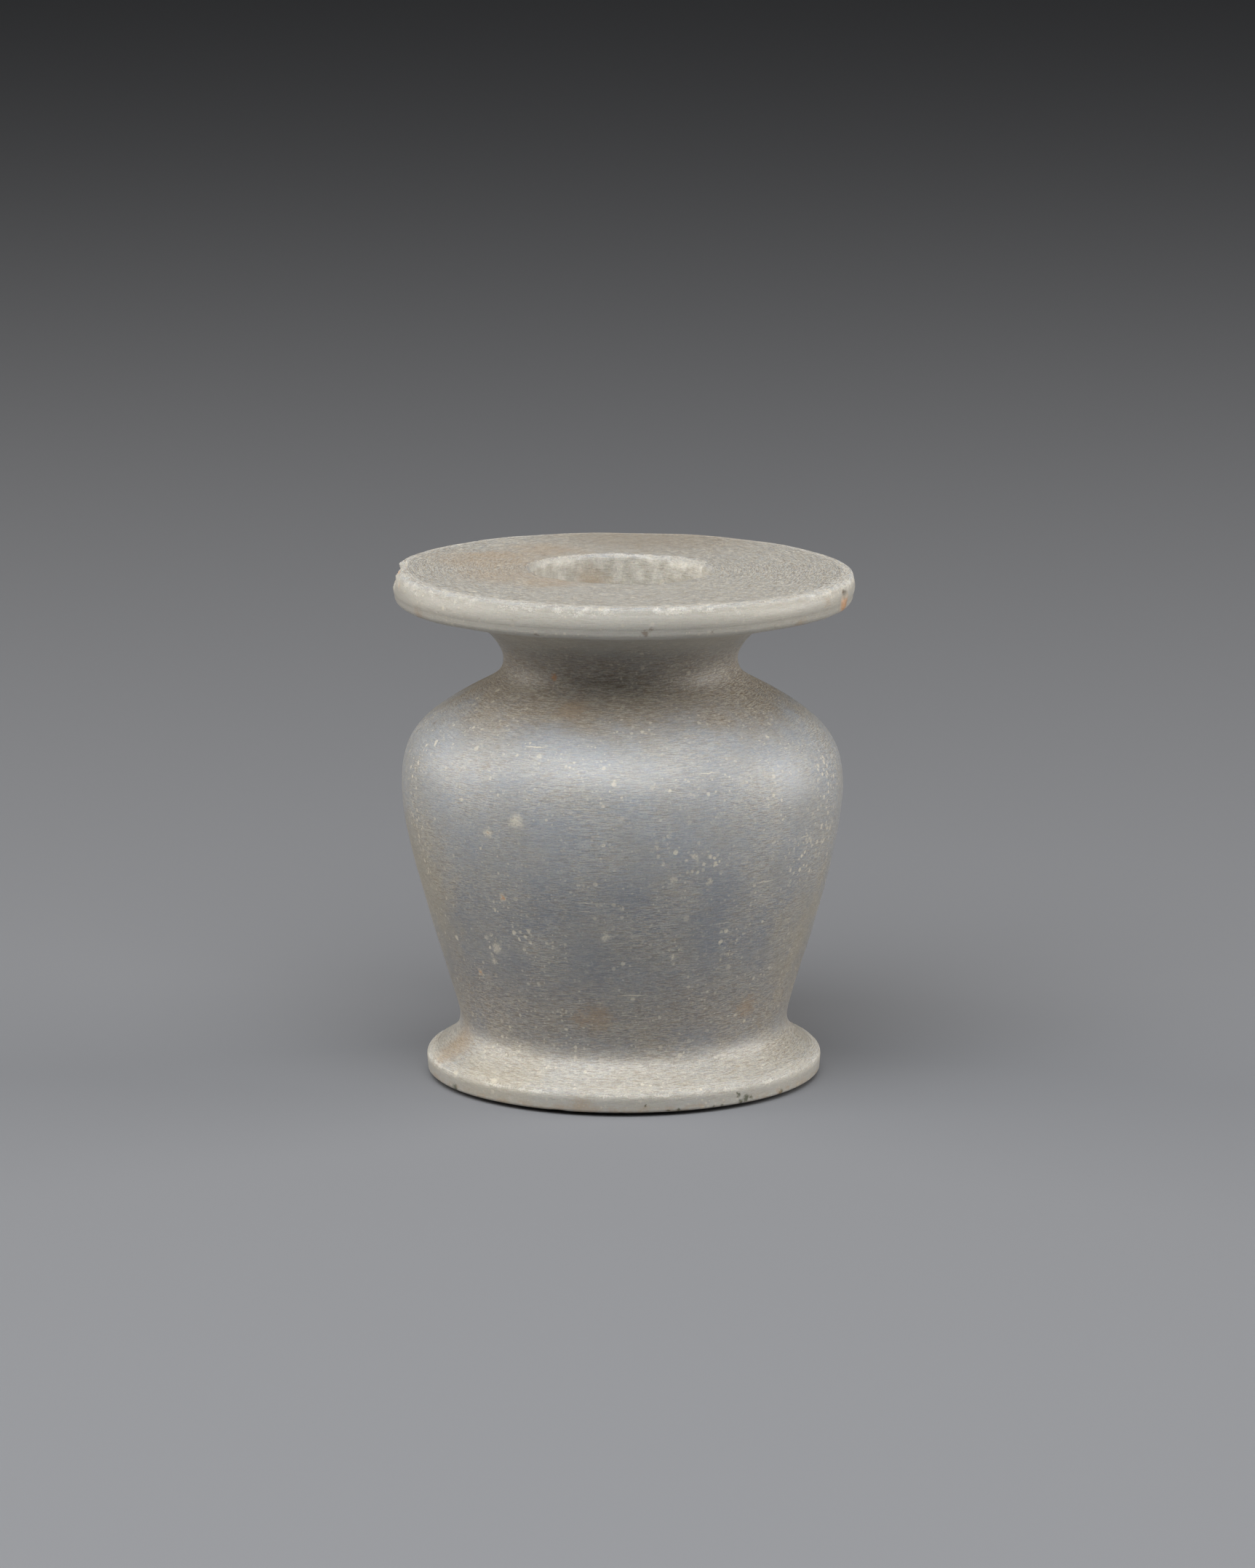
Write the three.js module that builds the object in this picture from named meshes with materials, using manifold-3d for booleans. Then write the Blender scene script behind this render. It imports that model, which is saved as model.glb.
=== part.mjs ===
// A small cosmetics jar carved from one block of pale stone: a flat disc rim over a
// narrow neck, a round shoulder on a body that tapers down, and a flared disc foot.
// A straight bore runs down from the mouth and leaves a thick floor.
// Millimetres, +Z up, origin at the middle of the underside. -Y is the front.

import * as THREE from 'three';
import { mergeVertices } from 'three/addons/utils/BufferGeometryUtils.js';
import Module from 'manifold-3d';

const wasm = await Module();
wasm.setup();

// Heights of the stretches, stacked from the underside up
const footEdgeHeight = 2.4;
const footFlareHeight = 3.35;
const bodyHeight = 23.05;
const shoulderHeight = 12.5;
const throatHeight = 5.5;
const rimThickness = 3.2;

// Radii and walls
const footRadius = 19.37;
const waistRadius = 16.08;
const bellyRadius = 21.53;
const rimRadius = 22.38;
const boreRadius = 8.85;
const neckWall = 2.51;
const floorThickness = 7;

// Roundings
const footLowerRounding = 0.6;
const footUpperRounding = 0.5;
const rimLowerRounding = 0.5;
const rimUpperRounding = 0.5;
const lipRounding = 0.5;
const floorRounding = 2;

// How far the foot's edge leans in at the sole, and the rim's edge swells at its middle
const footBatter = 0.1;
const rimSwelling = 0.2;

// The hand of the maker: the top leans down to the right and the bore sits off the axis
const topLeanDegrees = 0.6;
const boreOffset = -0.3;

// Losses. Azimuth is counted in degrees from +X towards the back, and slant is how far the
// scar faces up. Each bites into the stone by a depth, and is so wide and so tall
const rimLeftChip = { azimuth: 172, slant: 38, bite: 0.8, width: 9, tall: 2.4 };
const rimRightChip = { azimuth: -19, slant: -12, bite: 0.35, width: 1.8, tall: 2.3 };
const footLeftChip = { azimuth: 158, slant: 40, bite: 0.6, width: 5, tall: 1.7 };

// How the curves bend, as shares of the stretch that each one spans
const flareBend = { inward: 0.92, upward: 0.42, atWaist: 0.28 };
const bodyBend = { atWaist: 0.09, atBelly: 0.3 };
const shoulderSlope = { inward: 0.748, upward: 0.77 };
const shoulderBend = { atBelly: 0.37, outward: 0.78, downward: 0.325 };
const hollowBend = { inward: 0.68, upward: 0.32, atNeck: 0.115 };
const throatBend = { atNeck: 0.25, outward: 0.33, upward: 0.82 };
const throatEnd = { outward: 0.56, upward: 0.93 };

// Levels and radii that follow from the sizes above
const waistLevel = footEdgeHeight + footFlareHeight;
const bellyLevel = waistLevel + bodyHeight;
const neckLevel = bellyLevel + shoulderHeight;
const rimLevel = neckLevel + throatHeight;
const topLevel = rimLevel + rimThickness;
const neckRadius = boreRadius + neckWall;

// Steps round the axis, and along each kind of stretch in the outline
const turnSteps = 64;
const longSteps = 8;
const shortSteps = 5;
const roundingSteps = 2;

const stone = new THREE.MeshStandardMaterial({ color: 0xbab4a9, roughness: 0.5, metalness: 0 });

const mix = THREE.MathUtils.lerp;

// The point that is some shares of the way across and up from one point to another
function mixPoint(from, to, across, up) {
  return [mix(from[0], to[0], across), mix(from[1], to[1], up)];
}

// Adds the points of a curve to an outline, without its first point
function follow(outline, curve, steps) {
  outline.push(...curve.getPoints(steps).slice(1));
}

// A Bezier curve of two, three or four corners given as [radius, level]
function curveThrough(...corners) {
  const points = corners.map(([radius, level]) => new THREE.Vector2(radius, level));
  if (points.length === 2) return new THREE.LineCurve(...points);
  if (points.length === 3) return new THREE.QuadraticBezierCurve(...points);
  return new THREE.CubicBezierCurve(...points);
}

// The outline of the unbored jar, from the axis at the underside to the axis at the top
function jarOutline() {
  const outline = [new THREE.Vector2(0, 0)];
  const add = (steps, ...corners) => follow(outline, curveThrough(...corners), steps);

  // Foot: a disc with a slightly battered edge and two soft arrises
  const footLow = [footRadius - footBatter, footLowerRounding];
  const footSole = [footLow[0] - footLowerRounding, 0];
  const footHigh = [footRadius, footEdgeHeight - footUpperRounding];
  const flareStart = [footRadius - footUpperRounding, footEdgeHeight + 0.3 * footUpperRounding];
  add(1, [0, 0], footSole);
  add(roundingSteps, footSole, [footLow[0], 0], footLow);
  add(1, footLow, footHigh);
  add(roundingSteps, footHigh, [footRadius, footEdgeHeight], flareStart);

  // Flare of the foot: it sweeps in and up to the upright waist
  const waist = [waistRadius, waistLevel];
  const flareLow = mixPoint(flareStart, waist, flareBend.inward, flareBend.upward);
  const flareHigh = [waistRadius, waistLevel - flareBend.atWaist * footFlareHeight];
  add(shortSteps, flareStart, flareLow, flareHigh, waist);

  // Body: upright at the waist and at the belly, nearly straight between
  const belly = [bellyRadius, bellyLevel];
  const bodyLow = [waistRadius, waistLevel + bodyBend.atWaist * bodyHeight];
  const bodyHigh = [bellyRadius, bellyLevel - bodyBend.atBelly * bodyHeight];
  add(longSteps, waist, bodyLow, bodyHigh, belly);

  // Shoulder: a full round that turns into the hollow of the neck on one slope
  const neck = [neckRadius, neckLevel];
  const slope = mixPoint(belly, neck, shoulderSlope.inward, shoulderSlope.upward);
  const shoulderLow = [bellyRadius, bellyLevel + shoulderBend.atBelly * shoulderHeight];
  const shoulderHigh = mixPoint(slope, belly, shoulderBend.outward, shoulderBend.downward);
  const hollowLow = mixPoint(slope, neck, hollowBend.inward, hollowBend.upward);
  const hollowHigh = [neckRadius, neckLevel - hollowBend.atNeck * shoulderHeight];
  add(longSteps, belly, shoulderLow, shoulderHigh, slope);
  add(shortSteps, slope, hollowLow, hollowHigh, neck);

  // Throat: a trumpet that runs out under the rim
  const throat = mixPoint(neck, [rimRadius, rimLevel], throatEnd.outward, throatEnd.upward);
  const throatLow = [neckRadius, neckLevel + throatBend.atNeck * throatHeight];
  const throatHigh = mixPoint(neck, throat, throatBend.outward, throatBend.upward);
  add(shortSteps, neck, throatLow, throatHigh, throat);

  // Rim: a flat disc with a swelling edge
  const edgeRadius = rimRadius - rimSwelling / 2;
  const rimUnder = [edgeRadius - rimLowerRounding, rimLevel];
  const rimLow = [edgeRadius, rimLevel + rimLowerRounding];
  const rimSwell = [edgeRadius + rimSwelling, rimLevel + rimThickness / 2];
  const rimHigh = [edgeRadius, topLevel - rimUpperRounding];
  const rimTop = [edgeRadius - rimUpperRounding, topLevel];
  add(1, throat, rimUnder);
  add(roundingSteps, rimUnder, [edgeRadius, rimLevel], rimLow);
  add(roundingSteps, rimLow, rimSwell, rimHigh);
  add(roundingSteps, rimHigh, [edgeRadius, topLevel], rimTop);
  add(1, rimTop, [0, topLevel]);
  return outline;
}

// The outline of the space in the jar, from the axis at the floor to the axis over the top
function boreOutline() {
  const outline = [new THREE.Vector2(0, floorThickness)];
  const add = (steps, ...corners) => follow(outline, curveThrough(...corners), steps);
  const floorEdge = [boreRadius - floorRounding, floorThickness];
  const wallLow = [boreRadius, floorThickness + floorRounding];
  const wallHigh = [boreRadius, topLevel - lipRounding];
  const lip = [boreRadius + lipRounding, topLevel];
  const over = topLevel + rimThickness;
  add(1, [0, floorThickness], floorEdge);
  add(roundingSteps + 1, floorEdge, [boreRadius, floorThickness], wallLow);
  add(1, wallLow, wallHigh);
  add(roundingSteps, wallHigh, [boreRadius, topLevel], lip);
  add(1, lip, [lip[0], over]);
  add(1, [lip[0], over], [0, over]);
  return outline;
}

// Turns an outline about the Z axis
function turned(outline) {
  return new THREE.LatheGeometry(outline, turnSteps).rotateX(Math.PI / 2);
}

// Leans what lies above a level: the right side goes down, the left side up
function leanAbove(geometry, level) {
  const position = geometry.attributes.position;
  const fall = Math.tan(THREE.MathUtils.degToRad(topLeanDegrees));
  for (let i = 0; i < position.count; i++) {
    if (position.getZ(i) > level) position.setZ(i, position.getZ(i) - position.getX(i) * fall);
  }
  return geometry;
}

// A closed geometry as a solid, with shared corners merged and empty triangles dropped
function toSolid(geometry) {
  geometry.deleteAttribute('normal');
  geometry.deleteAttribute('uv');
  const merged = mergeVertices(geometry, 1e-4);
  const corners = Array.from(merged.index.array);
  const kept = [];
  for (let i = 0; i < corners.length; i += 3) {
    const triangle = corners.slice(i, i + 3);
    if (new Set(triangle).size === 3) kept.push(...triangle);
  }
  return new wasm.Manifold(new wasm.Mesh({
    numProp: 3,
    vertProperties: new Float32Array(merged.attributes.position.array),
    triVerts: new Uint32Array(kept),
  }));
}

function toGeometry(solid) {
  const mesh = solid.getMesh();
  const geometry = new THREE.BufferGeometry();
  geometry.setAttribute('position', new THREE.BufferAttribute(mesh.vertProperties, 3));
  geometry.setIndex(new THREE.BufferAttribute(mesh.triVerts, 1));
  geometry.computeVertexNormals();
  return geometry;
}

// A flat lens that takes a shallow flake off an edge at the given radius and level. It is
// three bites thick, so that a third of it is sunk into the stone, where it is widest
function chip({ azimuth, slant, bite, width, tall }, radius, level) {
  const { degToRad } = THREE.MathUtils;
  const thickness = 3 * bite;
  const reach = Math.sqrt(1 - (1 / 3) ** 2);
  const lens = new THREE.SphereGeometry(0.5, 16, 10);
  lens.scale(thickness, width / reach, tall / reach);
  lens.translate(thickness / 2 - bite, 0, 0);
  lens.rotateY(-degToRad(slant));
  lens.translate(radius, 0, level);
  return toSolid(lens.rotateZ(degToRad(azimuth)));
}

const block = toSolid(leanAbove(turned(jarOutline()), topLevel - rimUpperRounding / 2));
const bore = toSolid(leanAbove(turned(boreOutline()), topLevel - lipRounding / 2));

const jarSolid = block
  .subtract(bore.translate([boreOffset, 0, 0]))
  .subtract(chip(rimLeftChip, rimRadius, topLevel))
  .subtract(chip(rimRightChip, rimRadius, rimLevel + rimThickness / 2))
  .subtract(chip(footLeftChip, footRadius, footEdgeHeight));

const jar = new THREE.Mesh(toGeometry(jarSolid), stone);
jar.name = 'jar';

const group = new THREE.Group();
group.add(jar);

export default group;
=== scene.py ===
"""A small cosmetics jar carved from one block of pale, slightly translucent stone.

The jar is one closed surface: an outline of Bezier stretches is carried round the axis,
wobbles a little as handwork does, and loses flakes at its edges. One stone material
follows the outline with streaks of turning, flecks, stains and worn edges.
Shape code is in metres. Patterns in the material are in millimetres.
"""

import math
from types import SimpleNamespace

import bpy
import numpy as np
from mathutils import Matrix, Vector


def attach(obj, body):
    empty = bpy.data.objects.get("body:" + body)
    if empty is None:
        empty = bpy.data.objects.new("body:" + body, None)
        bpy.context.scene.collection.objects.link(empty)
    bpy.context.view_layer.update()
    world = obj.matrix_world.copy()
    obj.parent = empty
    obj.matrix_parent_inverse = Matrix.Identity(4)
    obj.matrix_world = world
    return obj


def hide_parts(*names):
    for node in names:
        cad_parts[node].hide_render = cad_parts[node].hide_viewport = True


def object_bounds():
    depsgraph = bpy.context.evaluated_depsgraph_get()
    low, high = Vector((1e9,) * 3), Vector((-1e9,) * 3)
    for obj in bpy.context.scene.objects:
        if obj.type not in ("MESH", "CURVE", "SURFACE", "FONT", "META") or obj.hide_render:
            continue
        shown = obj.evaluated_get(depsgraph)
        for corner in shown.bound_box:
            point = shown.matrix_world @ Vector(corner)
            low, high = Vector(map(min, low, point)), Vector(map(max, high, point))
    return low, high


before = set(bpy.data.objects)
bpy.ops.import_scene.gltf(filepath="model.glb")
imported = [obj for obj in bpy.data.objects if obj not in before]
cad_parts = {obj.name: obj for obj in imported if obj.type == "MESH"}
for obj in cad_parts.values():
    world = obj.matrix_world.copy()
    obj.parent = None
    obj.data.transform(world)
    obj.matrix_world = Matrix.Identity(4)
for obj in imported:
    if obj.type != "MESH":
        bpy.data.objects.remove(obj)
cad_low, cad_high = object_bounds()

bl_info = {
    "name": "Stone jar",
    "version": (1, 0, 0),
    "blender": (4, 5, 0),
    "location": "3D View > Sidebar > Stone jar",
    "description": "Carves a small cosmetics jar of pale stone and sets it in a plain studio",
    "category": "Object",
}

MM = 0.001

# The top leans down to the right, so the frame's highest corner is at the left, where the
# flat of the top ends, at a share of the rim's radius
TOP_LEAN = math.radians(0.6)
TOP_END = 0.97
RIM_RADIUS = (cad_high.x - cad_low.x) / 2
HEIGHT = cad_high.z - TOP_END * RIM_RADIUS * math.tan(TOP_LEAN)

# Roundings of the rim, the lip and the bore's floor, and the swelling of the rim's side
RIM_UPPER_ROUNDING = 0.6 * MM
RIM_LOWER_ROUNDING = 0.95 * MM
RIM_SWELLING = 0.3 * MM
LIP_ROUNDING = 0.5 * MM
FLOOR_ROUNDING = 2 * MM

# The foot's side leans in by the batter, and its sole lifts off the floor near the edge. Two
# shares place the corners of the sole's curve and of the upper arris
FOOT_LOWER_ROUNDING = 0.55 * MM
FOOT_UPPER_ROUNDING = 0.7 * MM
FOOT_BATTER = 0.1 * MM
FOOT_LIFT = 0.2 * MM
SOLE_ROUNDING = 3.5 * MM
SOLE_CORNER = 0.02
ARRIS_RISE = 0.3

# How the curves bend, as shares of the stretch that each one spans
FLARE_BEND = {"inward": 0.92, "upward": 0.42, "at_waist": 0.28}
BODY_BEND = {"at_waist": 0.09, "at_belly": 0.3}
SHOULDER_SLOPE = {"inward": 0.748, "upward": 0.77}
SHOULDER_BEND = {"at_belly": 0.37, "outward": 0.78, "downward": 0.325}
HOLLOW_BEND = {"inward": 0.68, "upward": 0.32, "at_neck": 0.115}
THROAT_BEND = {"at_neck": 0.25, "outward": 0.33, "upward": 0.82}
THROAT_END = {"outward": 0.56, "upward": 0.93}

# Rings of the mesh along each stretch of the outline, and corners round each ring
ROWS = {
    "sole": 7, "foot low": 5, "foot edge": 8, "foot high": 6, "flare": 20, "body": 36,
    "shoulder": 24, "hollow": 12, "throat": 14, "rim under": 6, "rim low": 5,
    "rim edge": 12, "rim high": 7, "top": 20, "lip": 6, "wall": 20, "corner": 4, "floor": 4,
}
COLUMNS = 456
WALL_CROWDING = 1.7

# Sideways drift of the axis as (level, drift) in millimetres: the neck and the shoulder sit
# a little to the left and the rim a little to the right of the foot
AXIS_DRIFT = ((0, 0), (6, 0), (16, -0.05), (28, -0.1), (36, -0.32), (42, -0.3), (46, -0.2),
              (46.8, 0.03), (50, 0.1))
BORE_OFFSET = -0.3 * MM

# Ripples as their longest and shortest wave and how many there are. On the outside the short
# ones have a share of the long ones' height, and both fade out below a level
LONG_WAVES = (40 * MM, 9 * MM, 14)
SHORT_WAVES = (8 * MM, 2.5 * MM, 24)
CRUST_WAVES = (5 * MM, 0.9 * MM, 40)
RAGGED_WAVES = (2.5 * MM, 0.6 * MM, 12)
SHORT_SHARE = 0.35
FADE_LEVEL = 3 * MM

# The bore's wall has the drill's rings, and a crust where its ripple passes a bare share
DRILL_RING_DEPTH = 0.02 * MM
DRILL_RING_STEP = 0.28 * MM
DRILL_SWAY = 1.3
DRILL_SWAY_STEP = 1.1 * MM
CRUST_DEPTH = 0.07 * MM
CRUST_BARE = 0.2

# Losses at the edges. Turn is in degrees from the front to the right, slant is how far the
# scar faces up, and the bite, width and height are in millimetres
LOSSES = (
    {"turn": -91, "slant": 22, "bite": 0.85, "width": 24, "tall": 10, "at": "rim top"},
    {"turn": 71, "slant": -12, "bite": 0.35, "width": 1.8, "tall": 2.3, "at": "rim side"},
    {"turn": -112, "slant": 40, "bite": 0.6, "width": 5, "tall": 1.7, "at": "foot top"},
)
LOSS_SPREAD = math.radians(9)
RAGGEDNESS = 0.25

# Nicks along the arrises as (stretch, how many, deepest bite), and the ranges of their width
# and height, in millimetres. Their slant strays by some radians
NICKS = (("rim high", 46, 0.13), ("foot high", 34, 0.14), ("foot low", 40, 0.16),
         ("lip", 22, 0.1))
NICK_WIDTHS = (0.6, 2.2)
NICK_HEIGHTS = (0.5, 1.1)
NICK_STRAY = 0.15

# Square of the distance, in half widths, past which a flake leaves the stone alone, and how
# far the stone has to be set down for the scar mask to be full
SCOOP_REACH = 7
SCAR_DEPTH = 0.03 * MM

# Marks of the surface as (turn in degrees, level, radius), in millimetres
WHITE_SPOTS = (
    (-28, 28.9, 0.75), (-36.7, 27.4, 0.5), (-5, 17.7, 0.5), (-40.2, 15.5, 0.6),
    (-42.7, 14, 0.4), (-0.2, 20.8, 0.2), (8.7, 26.8, 0.25), (18.6, 25.8, 0.35),
    (13.2, 23.5, 0.35), (23.4, 23.1, 0.35), (14.3, 15.5, 0.3), (-76.6, 49.4, 0.5),
    (-57.5, 2.1, 0.4), (-40.8, 2.4, 0.45), (-34.5, 21, 0.4), (-50.4, 12.5, 0.4))
RUST_SPOTS = (
    (-34.5, 21, 0.22), (-50.4, 12.5, 0.3), (-34, 41, 0.35), (71, 48.5, 0.45), (72.6, 47.6, 0.8),
    (73.4, 47, 0.5), (-36.7, 27.4, 0.16), (-85.3, 49.9, 0.35), (-76, 49.3, 0.3))
WARM_STAINS = (
    (-72, 3.6, 2.6), (-8.4, 9.2, 1.5), (-14, 9, 1), (44.4, 9.1, 1.3), (-70.9, 2.6, 1.2),
    (-12, 0.8, 1.2), (-62, 47.1, 1), (50, 46.9, 1), (-20, 38.5, 1.6), (71.5, 47.8, 1.3),
    (60, 48.7, 0.6))
BROWN_SPOTS = (
    (5.3, 47.6, 0.35), (6.6, 47.9, 0.25), (22, 47.5, 0.2), (-22, 47.1, 0.25),
    (19.4, 21.6, 0.13), (21.2, 20.3, 0.12), (24.5, 20.1, 0.14), (-76.4, 35.6, 0.3),
    (33, 37.6, 0.12), (56, 37, 0.14))
MOSS_SPOTS = (
    (37.6, 0.9, 0.4), (35, 1.4, 0.25), (35.8, 0.6, 0.3), (39.4, 0.9, 0.25), (52.1, 0.6, 0.35),
    (29.5, 0.5, 0.2), (26.5, 0.5, 0.2), (12.6, 0.6, 0.2), (15.9, 0.5, 0.25), (6.2, 1.2, 0.15),
    (-58, 0.6, 0.45))

# A spot fades from its middle, so that it needs this many times the radius to look its size
SPOT_SWELL = 1.35

# Thin pale scratches as (turn, level, half length), and how often longer than thick they are
SCRATCHES = (
    (3, 11.6, 1.9), (40.8, 22.3, 1.6), (29.2, 18.6, 1.1), (-10.6, 21.2, 1.3), (-10, 20.3, 1),
    (-26, 35.6, 1.5), (24, 33.5, 1.3), (55, 26, 1.4))
SCRATCH_THINNESS = 22.0

# Patches crowded with cream flecks as (turn, level, radius), those at the front first
FLECK_PATCHES = (
    (11.7, 26.6, 1.7), (17.8, 24.3, 1.5), (23.8, 24.8, 1.5), (14.5, 15.7, 1.3),
    (-31, 17.1, 1.7), (-41.3, 15.5, 1.4), (68.5, 30.6, 3.2), (64, 26.6, 2.8), (54.7, 23.6, 2.4),
    (-69, 26.3, 2.4), (-66.6, 22.1, 2.2), (-71, 31.2, 2.4), (31.4, 16.7, 1.8), (128, 25, 3.6),
    (-150, 19, 3.6), (174, 32, 3.6))

# Warmer clouds in the blue-grey stone as (rightward, backward, level, radius)
WARM_CLOUDS = (
    (-22, -6, 20, 13), (21, -9, 14, 11), (-14, -16, 3, 9), (4, 20, 26, 13), (20, 14, 34, 8),
    (-8, 16, 8, 9))

# Stains of the top as (rightward, backward, radius, strength), a darker patch at its back
# without a strength, and stains in the bore as (rightward, backward, level, radius)
TOP_STAINS = (
    (-13, 4, 6.5, 0.4), (-13, 7, 3.6, 0.5), (-8, 10.5, 4.5, 0.4), (-11.5, -4.5, 5.5, 0.35),
    (-7, -8.6, 3.6, 0.4))
TOP_SHADE = (3, 21, 16)
BORE_TAN = (-3.2, 8.3, 46.5, 3.2)
BORE_RUST = (2.4, 8.6, 46.0, 1.6)

# Millimetres past the start of the bore's floor that lie past the end of the outline
PAST_END = 99

# Power of the left light as a share of the right one's, and how far right the camera stands
LEFT_SHARE = 0.74
CAMERA_OFFSET = 0.37 * MM


def linear(red, green, blue):
    """A colour given as it looks on a screen, 0 to 255, as linear light with alpha."""
    def channel(value):
        share = value / 255
        return share / 12.92 if share <= 0.04045 else ((share + 0.055) / 1.055) ** 2.4

    return (channel(red), channel(green), channel(blue), 1.0)


def length(name, description, default):
    """A property in metres that a user can change."""
    return bpy.props.FloatProperty(
        name=name, description=description, default=default, min=0.0, precision=5,
        subtype="DISTANCE", unit="LENGTH")


def share(name, description, default):
    """A property that goes from none to full."""
    return bpy.props.FloatProperty(
        name=name, description=description, default=default, min=0.0, max=1.0, subtype="FACTOR")


def colour(name, description, default):
    """A colour property in linear light."""
    return bpy.props.FloatVectorProperty(
        name=name, description=description, default=default, size=4, min=0.0, max=1.0,
        subtype="COLOR")


class JarSizes(bpy.types.PropertyGroup):
    """Sizes of the jar, in metres."""

    rim_radius: length("Rim radius", "From the axis to the rim's edge", RIM_RADIUS)
    height: length("Height", "From the underside to the middle of the top", HEIGHT)
    foot_edge_height: length("Foot edge", "Height of the foot's upright edge", 2.4 * MM)
    flare_height: length("Flare", "Height from the foot's edge to the waist", 3.35 * MM)
    shoulder_height: length("Shoulder", "Height from the belly to the neck", 12.5 * MM)
    throat_height: length("Throat", "Height from the neck to the rim's underside", 5.5 * MM)
    rim_thickness: length("Rim thickness", "Height of the rim's edge", 3.2 * MM)
    foot_radius: length("Foot radius", "From the axis to the foot's edge", 19.37 * MM)
    waist_radius: length("Waist radius", "Radius where the flare meets the body", 16.08 * MM)
    belly_radius: length("Belly radius", "Largest radius of the body", 21.53 * MM)
    bore_radius: length("Bore radius", "Radius of the drilled space", 8.85 * MM)
    neck_wall: length("Neck wall", "Thickness of the stone round the bore at the neck", 2.51 * MM)
    floor_thickness: length("Floor", "Thickness of the stone under the bore", 7 * MM)
    wobble: length("Wobble", "How far the handmade surface strays from a true turning", 0.05 * MM)


class StoneLook(bpy.types.PropertyGroup):
    """Colours and wear of the stone."""

    cool: colour("Cool ground", "Blue-grey of the clear stone", linear(142, 148, 156))
    # Painted shade: the body below the belly is darker in place of the light that the stone would
    # carry down from the shoulder
    painted_low_shade: colour("Deep ground", "Darker blue-grey below the belly", linear(121, 127, 136))
    warm: colour("Warm ground", "Beige of the cloudier stone", linear(146, 141, 130))
    # Cream is partly the pale stone of the rim, the foot and the bore, and partly painted glow on
    # the thin rim and foot edges and painted light on the flare that faces up
    cream: colour("Cream", "Pale stone of the rim and the foot", linear(182, 177, 165))
    fleck: colour("Fleck", "Cream flecks and streaks", linear(206, 198, 180))
    # Earth is the brown-grey of grime in the hollows and furrows; at the waist it is also painted
    # shade, and it also darkens the back of the top
    earth: colour("Earth", "Brown-grey grime in the hollows", linear(122, 105, 83))
    tan: colour("Tan", "Tan stains", linear(162, 134, 100))
    rust: colour("Rust", "Orange stains", linear(190, 130, 70))
    brown: colour("Brown", "Dark brown specks", linear(104, 78, 56))
    moss: colour("Moss", "Green-black specks at the foot", linear(74, 76, 52))
    bruise: colour("Bruise", "Whitish bruised stone at the arrises", linear(224, 220, 210))
    streaks: share("Streaks", "Strength of the pale streaks of turning", 0.72)
    flecks: share("Flecks", "Strength of the cream flecks", 0.8)
    roughness: share("Roughness", "Roughness of the worn polish", 0.4)
    translucency: share("Translucency", "How much light passes through the stone", 0.25)


class StageSetting(bpy.types.PropertyGroup):
    """Floor, lights and camera."""

    pitch: bpy.props.FloatProperty(
        name="Pitch", description="How far the camera looks down",
        default=math.radians(11.48), subtype="ANGLE", unit="ROTATION")
    distance: length("Distance", "From the camera to the point that it looks at", 631.8 * MM)
    lens: bpy.props.FloatProperty(
        name="Lens", description="Focal length on a sensor 36 mm high", default=148.4,
        min=1.0, subtype="DISTANCE_CAMERA", unit="CAMERA")
    aim_height: length("Aim height", "Level of the point that the camera looks at", 28.66 * MM)
    key_power: bpy.props.FloatProperty(
        name="Key power", description="Power of the soft light above", default=5.9, min=0.0,
        unit="POWER")
    side_power: bpy.props.FloatProperty(
        name="Side power", description="Power of the soft light at the right", default=3.5,
        min=0.0, unit="POWER")
    ambient: share("Ambient", "Strength of the light from all round", 0.06)
    floor: colour("Floor", "Colour of the studio floor", linear(124, 125, 128))


def mix_point(start, end, across, up):
    """The point that is some shares of the way across and up from one point to another."""
    return (start[0] + (end[0] - start[0]) * across, start[1] + (end[1] - start[1]) * up)


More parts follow.
